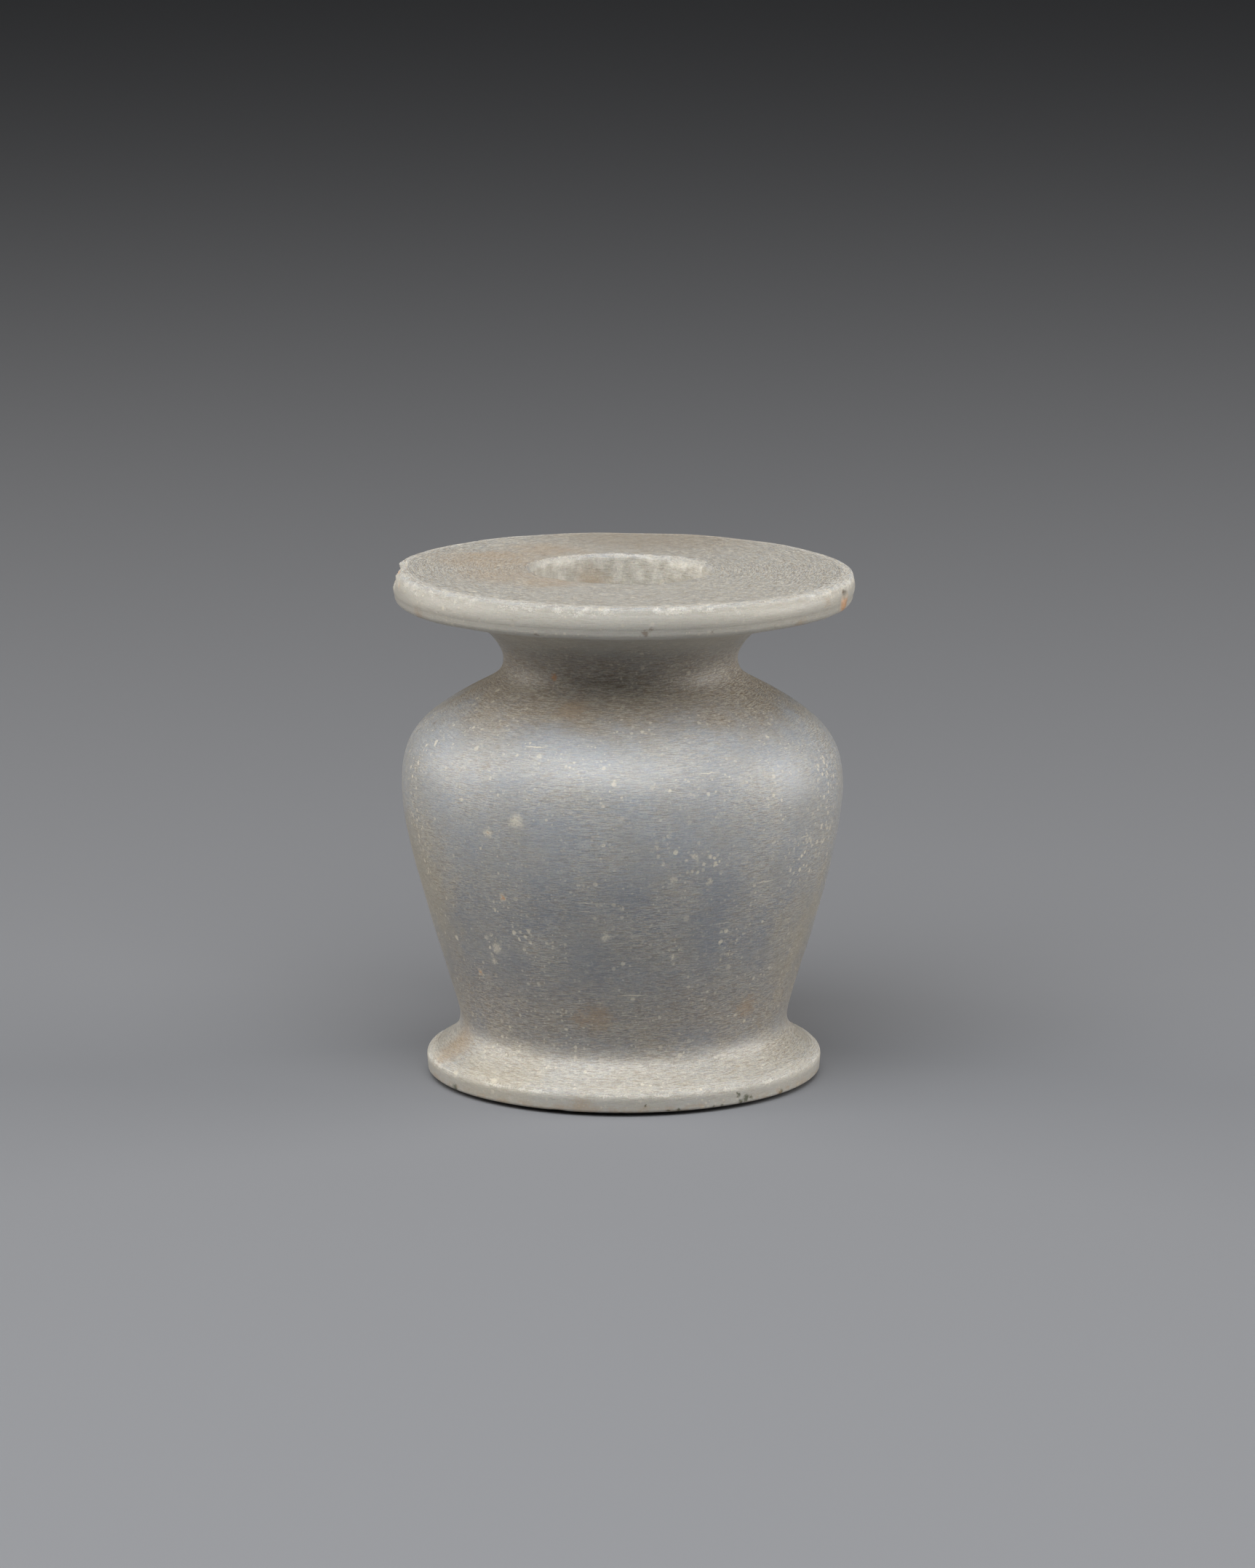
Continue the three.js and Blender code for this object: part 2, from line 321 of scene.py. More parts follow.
def jar_stretches(jar):
    """The outline as named Bezier stretches, each a list of corners (radius, level).

    It runs from the middle of the underside over the foot, the body, the neck and the rim,
    and down the bore to the middle of its floor.
    """
    waist = (jar.waist_radius, jar.foot_edge_height + jar.flare_height)
    rim_level = jar.height - jar.rim_thickness
    neck = (jar.bore_radius + jar.neck_wall, rim_level - jar.throat_height)
    belly = (jar.belly_radius, neck[1] - jar.shoulder_height)
    body_height = belly[1] - waist[1]

    foot_low = (jar.foot_radius - FOOT_BATTER, FOOT_LOWER_ROUNDING)
    foot_sole = (foot_low[0] - SOLE_ROUNDING, 0)
    foot_lifted = (foot_low[0] - SOLE_CORNER * SOLE_ROUNDING, FOOT_LIFT)
    foot_high = (jar.foot_radius, jar.foot_edge_height - FOOT_UPPER_ROUNDING)
    flare_start = (jar.foot_radius - FOOT_UPPER_ROUNDING,
                   jar.foot_edge_height + ARRIS_RISE * FOOT_UPPER_ROUNDING)

    slope = mix_point(belly, neck, SHOULDER_SLOPE["inward"], SHOULDER_SLOPE["upward"])
    throat = mix_point(neck, (jar.rim_radius, rim_level),
                       THROAT_END["outward"], THROAT_END["upward"])

    edge = jar.rim_radius - RIM_SWELLING / 2
    rim_under = (edge - RIM_LOWER_ROUNDING, rim_level)
    rim_low = (edge, rim_level + RIM_LOWER_ROUNDING)
    rim_high = (edge, jar.height - RIM_UPPER_ROUNDING)
    rim_top = (edge - RIM_UPPER_ROUNDING, jar.height)
    lip = (jar.bore_radius + LIP_ROUNDING, jar.height)
    wall_high = (jar.bore_radius, jar.height - LIP_ROUNDING)
    wall_low = (jar.bore_radius, jar.floor_thickness + FLOOR_ROUNDING)
    floor_edge = (jar.bore_radius - FLOOR_ROUNDING, jar.floor_thickness)

    return {
        "sole": [(0, 0), foot_sole],
        "foot low": [foot_sole, foot_lifted, foot_low],
        "foot edge": [foot_low, foot_high],
        "foot high": [foot_high, (jar.foot_radius, jar.foot_edge_height), flare_start],
        "flare": [
            flare_start,
            mix_point(flare_start, waist, FLARE_BEND["inward"], FLARE_BEND["upward"]),
            (waist[0], waist[1] - FLARE_BEND["at_waist"] * jar.flare_height),
            waist],
        "body": [
            waist,
            (waist[0], waist[1] + BODY_BEND["at_waist"] * body_height),
            (belly[0], belly[1] - BODY_BEND["at_belly"] * body_height),
            belly],
        "shoulder": [
            belly,
            (belly[0], belly[1] + SHOULDER_BEND["at_belly"] * jar.shoulder_height),
            mix_point(slope, belly, SHOULDER_BEND["outward"], SHOULDER_BEND["downward"]),
            slope],
        "hollow": [
            slope,
            mix_point(slope, neck, HOLLOW_BEND["inward"], HOLLOW_BEND["upward"]),
            (neck[0], neck[1] - HOLLOW_BEND["at_neck"] * jar.shoulder_height),
            neck],
        "throat": [
            neck,
            (neck[0], neck[1] + THROAT_BEND["at_neck"] * jar.throat_height),
            mix_point(neck, throat, THROAT_BEND["outward"], THROAT_BEND["upward"]),
            throat],
        "rim under": [throat, rim_under],
        "rim low": [rim_under, (edge, rim_level), rim_low],
        "rim edge": [rim_low, (edge + RIM_SWELLING, rim_level + jar.rim_thickness / 2), rim_high],
        "rim high": [rim_high, (edge, jar.height), rim_top],
        "top": [rim_top, lip],
        "lip": [lip, (jar.bore_radius, jar.height), wall_high],
        "wall": [wall_high, wall_low],
        "corner": [wall_low, (jar.bore_radius, jar.floor_thickness), floor_edge],
        "floor": [floor_edge, (0, jar.floor_thickness)],
    }


def bezier(corners, steps):
    """A Bezier curve: the sum of its corners, each weighted by its Bernstein polynomial."""
    last = len(corners) - 1
    steps = steps[:, None]
    return sum(
        math.comb(last, k) * steps**k * (1 - steps) ** (last - k) * np.array(corner)
        for k, corner in enumerate(corners))


def walk_outline(jar):
    """Points of the outline, the distance walked to each, and where each stretch starts.

    Every stretch gives its rows without its first point, so that none is repeated. The rows
    of the bore's wall are closer together near the mouth.
    """
    points = [np.zeros((1, 2))]
    first_row = {}
    count = 0
    for name, corners in jar_stretches(jar).items():
        steps = np.linspace(0, 1, ROWS[name] + 1)[1:]
        first_row[name] = count
        points.append(bezier(corners, steps**WALL_CROWDING if name == "wall" else steps))
        count += ROWS[name]
    points = np.concatenate(points)
    walked = np.concatenate([[0], np.cumsum(np.linalg.norm(np.diff(points, axis=0), axis=1))])
    start = {name: walked[row] for name, row in first_row.items()}
    return points, walked, first_row, start


def ring_turns():
    """Angles round each ring, from the front to the right, closer together at the losses.

    The density of corners is one plus a bell curve round each loss. The angles divide its
    running total into equal parts.
    """
    fine = np.linspace(-math.pi, math.pi, 3601)
    density = np.ones_like(fine)
    for loss in LOSSES:
        away = (fine - math.radians(loss["turn"]) + math.pi) % (2 * math.pi) - math.pi
        density += np.exp(-((away / LOSS_SPREAD) ** 2))
    total = np.cumsum(density)
    total = (total - total[0]) / (total[-1] - total[0])
    return np.interp(np.arange(COLUMNS) / COLUMNS, total, fine)


def eased(x, knots):
    """Goes from knot to knot along smooth steps, level at every knot."""
    xs, ys = np.array(knots, float).T
    right = np.clip(np.searchsorted(xs, x), 1, len(xs) - 1)
    t = np.clip((x - xs[right - 1]) / (xs[right] - xs[right - 1]), 0, 1)
    return ys[right - 1] + (ys[right] - ys[right - 1]) * t * t * (3 - 2 * t)


def ripple(points, longest, shortest, waves, draw):
    """Uneven relief of about one unit: a sum of plane sine waves in random directions."""
    lengths = np.exp(draw.uniform(math.log(shortest), math.log(longest), waves))
    headings = draw.normal(size=(3, waves))
    headings /= np.linalg.norm(headings, axis=0)
    phases = draw.uniform(0, 2 * math.pi, waves)
    swings = (lengths / longest) ** 0.5
    angles = points @ (headings * 2 * math.pi / lengths) + phases
    return np.sin(angles) @ swings / np.sqrt((swings**2).sum())


def scoop(points, scar, centre, slant, turn, bite, width, tall, uneven=0.0):
    """Takes a shallow flake off the stone.

    The scar is a paraboloid that is a bite deep at the centre and comes up to the centre's
    level half a width and half a height away. Stone near the centre that stands proud of it
    is set down on to it, and the scar mask goes to one there.
    """
    outward = np.array((math.sin(turn), -math.cos(turn), 0))
    side = np.array((math.cos(turn), math.sin(turn), 0))
    up = np.array((0, 0, 1))
    facing = outward * math.cos(slant) + up * math.sin(slant)
    rise = up * math.cos(slant) - outward * math.sin(slant)
    away = points - centre
    across = (away @ side) / (width / 2)
    along = (away @ rise) / (tall / 2)
    spread = across**2 + along**2
    bed = bite * (spread - 1 + uneven)
    proud = np.maximum(away @ facing - bed, 0) * (spread < SCOOP_REACH)
    points -= proud[..., None] * facing
    np.maximum(scar, np.clip(proud / SCAR_DEPTH, 0, 1), out=scar)


def uneven_push(points, level, inside, depth, wobble, draw):
    """How far the surface strays along its normal.

    Outside it is the sum of two ripples. In the bore it is the drill's rings, a sine of the
    depth with a swaying phase, and a crust.
    """
    upright = (np.clip(level / FADE_LEVEL, 0, 1) * ~inside)[:, None]
    push = wobble * ripple(points, *LONG_WAVES, draw) * upright
    push += SHORT_SHARE * wobble * ripple(points, *SHORT_WAVES, draw) * upright
    rings = np.sin(depth / DRILL_RING_STEP + DRILL_SWAY * np.sin(depth / DRILL_SWAY_STEP))
    crust = np.maximum(ripple(points, *CRUST_WAVES, draw) - CRUST_BARE, 0)
    push += inside[:, None] * (DRILL_RING_DEPTH * rings[:, None] + CRUST_DEPTH * crust)
    return push


def cut_losses(points, scar, jar, draw):
    """Takes the flakes off the rim and the foot, each with a ragged bed."""
    places = {
        "rim top": (jar.rim_radius, jar.height),
        "rim side": (jar.rim_radius, jar.height - jar.rim_thickness / 2),
        "foot top": (jar.foot_radius, jar.foot_edge_height),
    }
    for loss in LOSSES:
        turn = math.radians(loss["turn"])
        radius, height = places[loss["at"]]
        centre = np.array((radius * math.sin(turn), -radius * math.cos(turn), height))
        uneven = RAGGEDNESS * ripple(points, *RAGGED_WAVES, draw)
        scoop(points, scar, centre, math.radians(loss["slant"]), turn,
              loss["bite"] * MM, loss["width"] * MM, loss["tall"] * MM, uneven)


def cut_nicks(points, scar, slopes, first_row, turns, draw):
    """Takes nicks off the middle ring of each arris, at corners that are drawn by lot."""
    for arris, count, deepest in NICKS:
        row = first_row[arris] + ROWS[arris] // 2
        for _ in range(count):
            column = draw.integers(COLUMNS)
            bite = deepest * draw.uniform(0.25, 1) ** 2 * MM
            width = draw.uniform(*NICK_WIDTHS) * MM
            tall = draw.uniform(*NICK_HEIGHTS) * MM
            slant = math.atan2(-slopes[row, 0], slopes[row, 1]) + draw.normal(0, NICK_STRAY)
            scoop(points, scar, points[row, column].copy(), slant, turns[column],
                  bite, width, tall)


def jar_surface(jar):
    """The jar's points as rings along the outline, with what its material reads.

    Each ring is the outline's radius turned about the drifting axis. The surface is then
    pushed along the outline's normal, leaned at the top, and cut back by the losses. Returns
    the points, the way along the outline, the scar mask and the stretches' starts.
    """
    outline, walked, first_row, start = walk_outline(jar)
    slopes = np.gradient(outline, axis=0)[1:-1]
    slopes /= np.linalg.norm(slopes, axis=1, keepdims=True)
    rings = outline[1:-1]
    level = rings[:, 1]
    rows = np.arange(1, len(outline) - 1)
    turns = ring_turns()
    outward = np.stack([np.sin(turns), -np.cos(turns), np.zeros_like(turns)], axis=-1)
    up = np.array((0, 0, 1))
    points = rings[:, 0, None, None] * outward + level[:, None, None] * up
    normals = slopes[:, 1, None, None] * outward - slopes[:, 0, None, None] * up

    draw = np.random.default_rng(5)
    inside = rows > first_row["lip"]
    depth = walked[1:-1] - start["wall"]
    push = uneven_push(points, level, inside, depth, jar.wobble, draw)
    points += push[..., None] * normals

    drift = eased(level / MM, AXIS_DRIFT) * MM
    drift[inside] = BORE_OFFSET
    mouth = (rows > first_row["top"]) & ~inside
    nearness = np.clip((rings[:, 0] - jar.bore_radius) / (jar.rim_radius - jar.bore_radius), 0, 1)
    drift[mouth] = (BORE_OFFSET + (drift - BORE_OFFSET) * nearness)[mouth]
    points[..., 0] += drift[:, None]

    half_rim = jar.rim_thickness / 2
    leaning = np.clip((level - jar.height + half_rim) / half_rim, 0, 1)
    points[..., 2] -= leaning[:, None] * points[..., 0] * math.tan(TOP_LEAN)

    scar = np.zeros(points.shape[:2])
    cut_losses(points, scar, jar, draw)
    cut_nicks(points, scar, slopes, first_row, turns, draw)
    return points, walked[1:-1], scar, start


def mesh_from_rings(name, rings, first_pole, last_pole):
    """A closed mesh: quads between neighbouring rings, and a fan of triangles at each pole."""
    rows, columns, _ = rings.shape
    corner = np.arange(rows * columns).reshape(rows, columns)
    beside = np.roll(corner, -1, axis=1)
    quads = np.stack([corner[:-1], beside[:-1], beside[1:], corner[1:]], axis=-1).reshape(-1, 4)
    first = np.full(columns, rows * columns)
    fans = np.concatenate([
        np.stack([first, beside[0], corner[0]], axis=-1),
        np.stack([first + 1, corner[-1], beside[-1]], axis=-1)])
    places = np.concatenate([rings.reshape(-1, 3), [first_pole, last_pole]])

    mesh = bpy.data.meshes.new(name)
    mesh.vertices.add(len(places))
    mesh.vertices.foreach_set("co", places.astype(np.float32).ravel())
    mesh.loops.add(quads.size + fans.size)
    mesh.loops.foreach_set("vertex_index", np.concatenate([quads.ravel(), fans.ravel()]))
    mesh.polygons.add(len(quads) + len(fans))
    starts = np.concatenate([np.arange(len(quads)) * 4, quads.size + np.arange(len(fans)) * 3])
    mesh.polygons.foreach_set("loop_start", starts)
    mesh.update(calc_edges=True)
    if mesh.validate():
        raise RuntimeError(f"{name}: the mesh had faults")
    mesh.shade_smooth()
    return mesh


def store(mesh, name, values, at_first_pole, at_last_pole):
    """Keeps one number for each corner of the mesh, for its material to read."""
    attribute = mesh.attributes.new(name, "FLOAT", "POINT")
    numbers = np.concatenate([values.ravel(), [at_first_pole, at_last_pole]])
    attribute.data.foreach_set("value", numbers.astype(np.float32))


class Wiring:
    """Adds nodes to a tree. A socket given as an input is linked, and a value is set on it."""

    def __init__(self, tree):
        self.tree = tree

    def add(self, kind, inputs=None, **settings):
        node = self.tree.nodes.new(kind)
        for name, value in settings.items():
            setattr(node, name, value)
        for key, value in (inputs or {}).items():
            if isinstance(value, bpy.types.NodeSocket):
                self.tree.links.new(value, node.inputs[key])
            else:
                node.inputs[key].default_value = value
        return node

    def math(self, operation, first, second=0.0, clamp=False):
        node = self.add("ShaderNodeMath", {0: first, 1: second}, operation=operation,
                        use_clamp=clamp)
        return node.outputs[0]

    def times(self, *values):
        product = values[0]
        for value in values[1:]:
            product = self.math("MULTIPLY", product, value)
        return product

    def plus(self, first, second, clamp=False):
        return self.math("ADD", first, second, clamp)

    def minus(self, first, second):
        return self.math("SUBTRACT", first, second)

    def either(self, *masks):
        largest = masks[0]
        for mask in masks[1:]:
            largest = self.math("MAXIMUM", largest, mask)
        return largest

    def remap(self, value, low, high, new_low=0.0, new_high=1.0):
        node = self.add("ShaderNodeMapRange", {
            "Value": value, "From Min": low, "From Max": high,
            "To Min": new_low, "To Max": new_high}, interpolation_type="SMOOTHSTEP")
        return node.outputs["Result"]

    def noise(self, vector, scale, detail=2.0, roughness=0.5, output="Fac"):
        node = self.add("ShaderNodeTexNoise", {
            "Vector": vector, "Scale": scale, "Detail": detail, "Roughness": roughness})
        return node.outputs[output]

    def vector(self, operation, first, second):
        node = self.add("ShaderNodeVectorMath", {0: first, 1: second}, operation=operation)
        return node.outputs["Value" if operation == "DISTANCE" else "Vector"]

    def all_round(self, value):
        """The same value along all three axes."""
        return self.add("ShaderNodeCombineXYZ", dict.fromkeys("XYZ", value)).outputs[0]

    def blend(self, factor, under, over, mode="MIX"):
        node = self.add("ShaderNodeMix", {0: factor, 6: under, 7: over}, data_type="RGBA",
                        blend_type=mode)
        return node.outputs[2]


def node_group(name, inputs):
    """An empty group with named inputs (name: (kind, default)) and one mask as its output."""
    group = bpy.data.node_groups.new(name, "ShaderNodeTree")
    for label, (kind, default) in inputs.items():
        socket = group.interface.new_socket(
            name=label, in_out="INPUT", socket_type=f"NodeSocket{kind}")
        if kind == "Float":
            socket.default_value = default
    group.interface.new_socket(name="Mask", in_out="OUTPUT", socket_type="NodeSocketFloat")
    wires = Wiring(group)
    return wires, wires.add("NodeGroupInput").outputs


def finish_group(wires, result):
    """Sends a socket to the group's output, and gives the group."""
    wires.add("NodeGroupOutput", {0: result})
    return wires.tree


def band_group():
    """Mask of a band of values: it rises softly past the start and falls softly at the end."""
    wires, given = node_group("Band", {
        "Value": ("Float", 0), "Start": ("Float", 0), "End": ("Float", 1),
        "Softness": ("Float", 0.5)})
    past_start, past_end = [
        wires.remap(given["Value"], wires.minus(given[place], given["Softness"]),
                    wires.plus(given[place], given["Softness"]))
        for place in ("Start", "End")]
    return finish_group(wires, wires.minus(past_start, past_end))


def streak_group():
    """Mask of streaks that run round the axis.

    Noise is read at (x and y over the streak's length, the way along the outline over its
    width), and kept where it passes a threshold. Slope makes the streaks climb to the right.
    """
    wires, given = node_group("Turning streaks", {
        "Position": ("Vector", None), "Along": ("Float", 0), "Length": ("Float", 5),
        "Width": ("Float", 0.2), "Slope": ("Float", 0), "Shift": ("Float", 0),
        "Threshold": ("Float", 0.55), "Softness": ("Float", 0.08)})
    place = wires.add("ShaderNodeSeparateXYZ", {0: given["Position"]}).outputs
    climbed = wires.minus(given["Along"], wires.times(given["Slope"], place["X"]))
    vector = wires.add("ShaderNodeCombineXYZ", {
        "X": wires.plus(wires.math("DIVIDE", place["X"], given["Length"]), given["Shift"]),
        "Y": wires.math("DIVIDE", place["Y"], given["Length"]),
        "Z": wires.math("DIVIDE", climbed, given["Width"])}).outputs[0]
    grain = wires.noise(vector, 1.0, 3.0, 0.6)
    return finish_group(wires, wires.remap(
        grain, given["Threshold"], wires.plus(given["Threshold"], given["Softness"])))


def fleck_group():
    """Mask of scattered flecks, one in each cell of a Voronoi pattern.

    Every cell draws a number, and its fleck's radius is the largest radius times what that
    number has over the share of bare cells. Noise makes the flecks ragged.
    """
    wires, given = node_group("Flecks", {
        "Position": ("Vector", None), "Ragged": ("Vector", None), "Cell": ("Float", 1.0),
        "Radius": ("Float", 0.2), "Bare": ("Float", 0.5)})
    torn = wires.vector("ADD", given["Position"], wires.vector(
        "MULTIPLY", given["Ragged"], wires.all_round(given["Radius"])))
    cells = wires.add("ShaderNodeTexVoronoi", {
        "Vector": torn, "Scale": wires.math("DIVIDE", 1.0, given["Cell"])})
    drawn = wires.add("ShaderNodeSeparateColor", {0: cells.outputs["Color"]}).outputs["Red"]
    size = wires.math("DIVIDE", wires.minus(drawn, given["Bare"]),
                      wires.minus(1.0, given["Bare"]), clamp=True)
    radius = wires.math("DIVIDE", wires.times(size, given["Radius"]), given["Cell"])
    inside = wires.minus(radius, cells.outputs["Distance"])
    softness = wires.plus(wires.times(radius, 0.5), 0.01)
    return finish_group(wires, wires.remap(inside, 0.0, softness))


def spot_group():
    """Mask of a round spot: full at the centre and gone one radius away from it."""
    wires, given = node_group("Spot", {
        "Position": ("Vector", None), "Centre": ("Vector", None), "Radius": ("Float", 0.5)})
    away = wires.vector("DISTANCE", given["Position"], given["Centre"])
    return finish_group(wires, wires.remap(away, given["Radius"],
                                           wires.times(given["Radius"], 0.25)))


def surface_place(jar, turn, level):
    """The point on the outside at a turn in degrees and a level in millimetres."""
    outline, _, first_row, _ = walk_outline(jar)
    outside = outline[first_row["foot low"]:first_row["rim high"] + ROWS["rim high"]]
    radius = np.interp(level * MM, outside[:, 1], outside[:, 0]) / MM
    turn = math.radians(turn)
    return (radius * math.sin(turn) + float(eased(np.array([level]), AXIS_DRIFT)[0]),
            -radius * math.cos(turn), level)


class StoneWiring(Wiring):
    """The stone's own patterns, over the place in millimetres and the way along the outline."""

    def __init__(self, tree, jar, start):
        super().__init__(tree)
        self.jar = jar
        self.start = start
        self.ground = None
        self.groups = {"band": band_group(), "streaks": streak_group(),
                       "flecks": fleck_group(), "spot": spot_group()}
        object_place = self.add("ShaderNodeTexCoord").outputs["Object"]
        self.place = self.add("ShaderNodeMapping", {
            "Vector": object_place, "Scale": (1 / MM,) * 3}).outputs[0]
        self.along = self.add("ShaderNodeAttribute", attribute_name="along").outputs["Fac"]
        self.scar = self.add("ShaderNodeAttribute", attribute_name="scar").outputs["Fac"]
        self.coarse = self.noise(self.place, 0.2, 4.0, 0.55)
        self.medium = self.noise(self.place, 0.9, 4.0, 0.6)
        self.fine = self.noise(self.place, 6.5, 3.0, 0.75)
        self.fine_push = self.centred(self.noise(self.place, 5.5, 3.0, 0.75, "Color"))
        self.near_push = self.centred(self.noise(self.place, 2.4, 4.0, 0.65, "Color"))
        self.far_push = self.centred(self.noise(self.place, 0.35, 5.0, 0.6, "Color"))

    def coat(self, colour, *masks):
        """Blends a colour over the ground by the product of some masks."""
        self.ground = self.blend(self.times(*masks), self.ground, colour)

    def centred(self, colour):
        """Turns noise from 0 to 1 into a push to all sides."""
        return self.vector("SUBTRACT", colour, (0.5,) * 3)

    def pushed(self, *pushes):
        """The place, moved by each (push, millimetres)."""
        place = self.place
        for push, reach in pushes:
            place = self.vector("ADD", place, self.vector("MULTIPLY", push, (reach,) * 3))
        return place

    def placed(self, group, **inputs):
        """A group's node with its own values."""
        return self.add("ShaderNodeGroup", inputs, node_tree=self.groups[group]).outputs[0]

    def zone(self, first, last, softness, sway=0.0):
        """Band between two places given as (stretch, millimetres past its start)."""
        value = self.along
        if sway:
            value = self.plus(value, self.remap(self.coarse, 0.3, 0.7, -sway, sway))
        return self.placed("band", Value=value, Softness=softness,
                           Start=self.start[first[0]] / MM + first[1],
                           End=self.start[last[0]] / MM + last[1])

    def streaks(self, length, width, threshold, softness=0.2, slope=0.0, shift=0.0):
        return self.placed("streaks", Position=self.place, Along=self.along, Length=length,
                           Width=width, Threshold=threshold, Softness=softness, Slope=slope,
                           Shift=shift)

    def flecks(self, cell, radius, bare):
        return self.placed("flecks", Position=self.place, Ragged=self.near_push, Cell=cell,
                           Radius=radius, Bare=bare)

    def hollow_spot(self, centre, radius, push):
        """A loose spot anywhere in the stone, torn at its edge by a push in millimetres."""
        torn = self.pushed((self.far_push, push), (self.near_push, 1.0))
        return self.placed("spot", Position=torn, Centre=centre, Radius=radius)

    def spots(self, marks, reach=1.2):
        """Spots at (turn, level, radius), torn at their edges by a push of some reach."""
        torn = self.pushed((self.near_push, reach))
        return self.either(*[
            self.placed("spot", Position=torn, Centre=surface_place(self.jar, turn, level),
                        Radius=radius * SPOT_SWELL)
            for turn, level, radius in marks])

    def scratches(self, marks):
        """Thin level lines at (turn, level, half length): spots on a place stretched upward."""
        stretch = (1.0, 1.0, SCRATCH_THINNESS)
        stretched = self.vector("MULTIPLY", self.pushed((self.near_push, 0.25)), stretch)
        return self.either(*[
            self.placed("spot", Position=stretched, Radius=half_length, Centre=tuple(
                np.multiply(surface_place(self.jar, turn, level), stretch)))
            for turn, level, half_length in marks])

    def arris(self, name, offset, reach):
        """Wear round an arris, in tongues of uneven reach that leave gaps between them."""
        middle = self.start[name] / MM + offset
        away = self.math("ABSOLUTE", self.minus(self.along, middle))
        uneven = self.plus(self.remap(self.medium, 0.38, 0.72, 0.0, reach),
                           self.remap(self.fine, 0.3, 0.7, -0.12, 0.16))
        uneven = self.either(uneven, 0.02)
        return self.remap(away, uneven, self.times(uneven, 0.3))


def jar_zones(w):
    """Masks of the jar's zones along its outline."""
    rim_side = w.zone(("rim low", -0.4), ("rim high", 0.4), 0.4)
    foot_side = w.zone(("foot low", 0), ("foot high", 0.6), 0.4)
    return SimpleNamespace(
        neck=w.zone(("shoulder", 10.5), ("throat", 2.6), 3.2, sway=1.4),
        waist=w.zone(("flare", 3.0), ("body", 6.5), 4.0, sway=2.0),
        # Painted shade on the lower body, from the waist to below the belly
        painted_low_shade=w.zone(("body", -3), ("body", 17), 5.0, sway=1.5),
        # Painted glow under the rim, where light would pass through the thin stone
        glow_under_rim=w.zone(("throat", 3.2), ("rim low", 0), 2.0),
        rim_side=rim_side,
        foot_side=foot_side,
        sides=w.either(rim_side, foot_side),
        flare=w.zone(("foot high", 0), ("flare", 4.0), 1.3),
        top=w.zone(("rim high", 0.5), ("lip", 0.4), 0.4),
        bore=w.zone(("lip", 0.7), ("floor", PAST_END), 0.5),
        low_edges=w.either(w.zone(("foot low", -0.2), ("foot edge", 0.5), 0.3),
                           w.zone(("rim under", 6), ("rim edge", 0.1), 0.4)),
        arrises=w.either(w.zone(("rim high", -0.3), ("top", 0.5), 0.3),
                         w.zone(("foot high", -0.2), ("flare", 0.2), 0.3)))


def lay_ground(w, look, zones):
    """Blue-grey stone, painted shade below the belly, warm clouds, cream and painted glow at its
    edges.
    """
    warmed = w.either(*[w.hollow_spot(centre, radius, 12.0) for *centre, radius in WARM_CLOUDS])
    mottled = w.either(w.remap(w.coarse, 0.3, 0.75, 0.05, 0.45), w.times(zones.top, 0.45), warmed)
    w.ground = w.blend(mottled, w.blend(zones.painted_low_shade, look.cool, look.painted_low_shade), look.warm)
    # Cream on the sides of the rim and the foot and on the flare is partly painted glow and
    # light, under the rim it is painted glow only, and in the bore it is the stone's own colour
    w.coat(look.cream, w.either(
        w.times(zones.rim_side, 0.8), w.times(zones.foot_side, 0.66), w.times(zones.flare, 0.45),
        w.times(zones.bore, 0.8), w.times(zones.glow_under_rim, 0.8)))


def add_streaks(w, look, zones, patchy):
    """Grime in the hollows, at the waist also painted shade, then pale and dark streaks of
    turning, whose masks it returns.
    """
    furrows = w.streaks(0.9, 0.1, 0.45, 0.2, shift=31.0)
    # Earth at the neck is grime; at the waist it is grime and painted shade
    w.coat(look.earth, w.either(w.times(zones.neck, 0.86), w.times(zones.waist, 0.42)),
           w.remap(w.medium, 0.3, 0.7, 0.7, 0.95), w.plus(w.times(furrows, 0.25), 0.75))
    lines = w.either(w.streaks(0.9, 0.09, 0.44, 0.2), w.streaks(0.4, 0.13, 0.46, 0.2, shift=7.0),
                     w.times(w.streaks(3.0, 0.08, 0.48, slope=0.3, shift=19.0), 0.8))
    lined = w.either(w.times(zones.neck, 0.8), w.times(zones.waist, 0.65),
                     w.times(zones.flare, 0.7), w.times(zones.top, 0.9), patchy)
    lines = w.times(lines, lined, look.streaks)
    dark_lines = w.times(furrows, lined, 0.65)
    w.coat(look.fleck, lines)
    w.coat(look.earth, dark_lines)
    return lines, dark_lines


def add_flecks(w, look):
    """Flecks of three sizes in clusters, crowded patches and scratches: returns their mask."""
    clusters = w.remap(w.noise(w.place, 0.3, 2.0, 0.5), 0.35, 0.7, 0.3, 1.0)
    flecks = w.either(w.times(w.flecks(0.42, 0.18, 0.25), 0.65), w.flecks(2.0, 0.42, 0.45),
                      w.times(w.flecks(0.9, 0.3, 0.35), 0.85))
    crowded = w.times(w.spots(FLECK_PATCHES, 4.0), w.flecks(0.55, 0.34, 0.1))
    flecks = w.times(w.either(w.times(flecks, clusters), crowded, w.scratches(SCRATCHES)),
                     look.flecks)
    w.coat(look.fleck, flecks)
    return flecks


